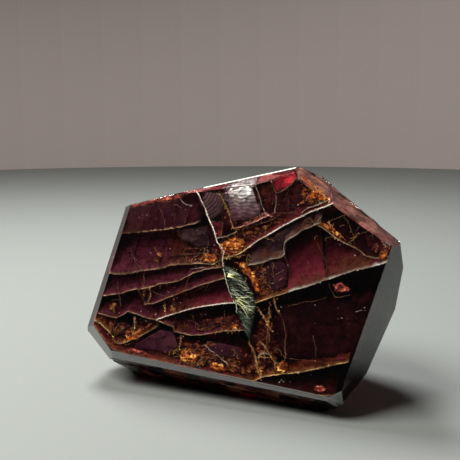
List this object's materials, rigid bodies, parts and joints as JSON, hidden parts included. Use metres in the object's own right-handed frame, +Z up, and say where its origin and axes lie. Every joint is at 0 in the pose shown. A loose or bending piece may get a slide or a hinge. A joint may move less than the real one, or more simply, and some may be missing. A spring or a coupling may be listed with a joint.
{
  "type": "garnet crystal",
  "caption": "Large clear garnet crystal, deep purple-red, ground to a wide polished window with narrow bevels and full of iron-stained fractures, resting tilted on its flat underside.",
  "frame": {"origin": "on the surface it rests on, under the middle of its outline", "axes": "+X along the window's width to its right, -Y the way the polished window faces, +Z up"},
  "size_m": [0.0778, 0.0408, 0.0548],
  "materials": {
    "garnet": "polished, see-through deep purple-red garnet, with orange-stained fractures and a dark green inclusion sealed in it"
  },
  "bodies": {
    "root": {"garnet_crystal": "garnet"}
  },
  "joints": []
}
